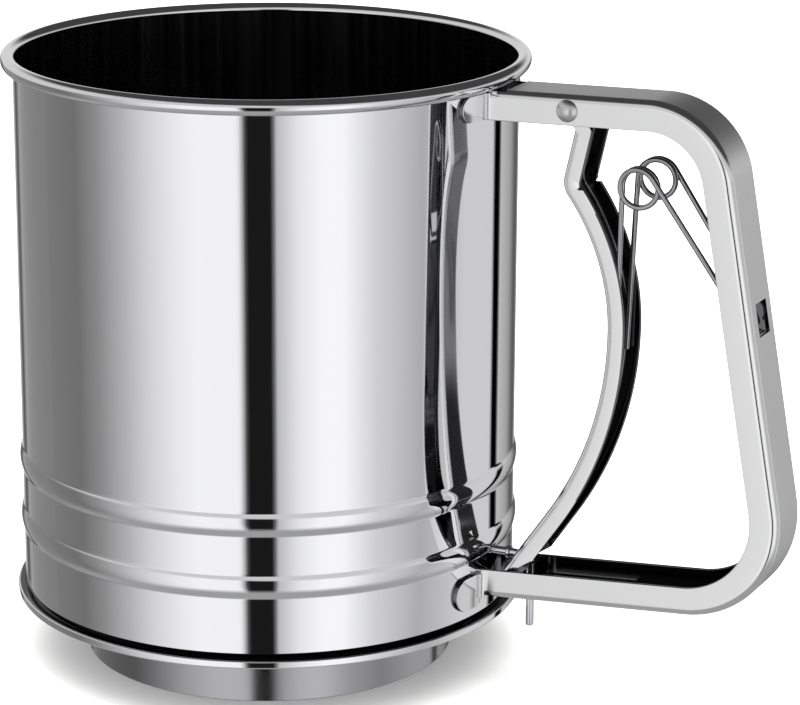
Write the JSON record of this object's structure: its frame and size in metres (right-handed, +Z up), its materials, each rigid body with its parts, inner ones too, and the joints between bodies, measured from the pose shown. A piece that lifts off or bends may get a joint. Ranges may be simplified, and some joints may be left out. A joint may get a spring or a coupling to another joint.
{
  "type": "flour sifter",
  "caption": "Squeeze-handle flour sifter: an open steel cup over a woven screen, with a sprung trigger in the handle that sweeps a wire agitator.",
  "frame": {"origin": "on the cup's axis, in the plane of the collar's bottom edge, on which the sifter stands", "axes": "+Z up along the cup's axis towards its mouth, +X out through the handle"},
  "size_m": [0.1643, 0.1048, 0.1233],
  "materials": {
    "cup_steel": "mirror polished stainless sheet",
    "handle_steel": "fine satin stainless sheet",
    "trigger_steel": "fine satin stainless sheet",
    "rivet_steel": "tumbled stainless rivet",
    "wire_steel": "bright drawn stainless wire",
    "spring_steel": "bright spring wire",
    "mesh_steel": "plain woven stainless mesh",
    "turned_steel": "turned stainless"
  },
  "bodies": {
    "cup": {"cup_body": "cup_steel", "base_collar": "cup_steel", "mesh_screen": "mesh_steel", "screen_ring": "cup_steel", "cross_bar": "handle_steel", "axle_pin": "turned_steel", "thrust_washer": "turned_steel", "top_washer": "turned_steel", "axle_cap": "turned_steel", "handle": "handle_steel", "pivot_rivet": "rivet_steel", "pivot_spacer_near": "turned_steel", "pivot_spacer_far": "turned_steel", "return_spring": "spring_steel"},
    "trigger": {"trigger": "trigger_steel"},
    "rod": {"drive_rod": "wire_steel", "crank_clip": "turned_steel"},
    "agitator": {"agitator_hub": "turned_steel", "agitator_arm_1": "wire_steel", "agitator_arm_2": "wire_steel", "agitator_arm_3": "wire_steel", "agitator_arm_4": "wire_steel", "crank_arm": "handle_steel"}
  },
  "joints": [
    {"name": "trigger_pivot", "type": "hinge", "parent": "cup", "child": "trigger", "pos_m": [0.0672, 0, 0.1182], "axis": [0, -1, 0], "range_deg": [0, 10.5], "stiffness_Nm_per_rad": 1.2, "springref_deg": -8.59, "deforming": ["return_spring"]},
    {"name": "rod_slide", "type": "slide", "parent": "cup", "child": "rod", "axis": [1, 0, 0], "range_m": [0, 0.0168]},
    {"name": "agitator_spin", "type": "hinge", "parent": "cup", "child": "agitator", "pos_m": [0, 0, 0.02], "axis": [0, 0, 1], "range_deg": [0, 58.4]}
  ],
  "couplings": [
    {"joint": "rod_slide", "follows": "trigger_pivot", "m_per_rad": 0.0912},
    {"joint": "agitator_spin", "follows": "trigger_pivot", "ratio": 5.543}
  ]
}
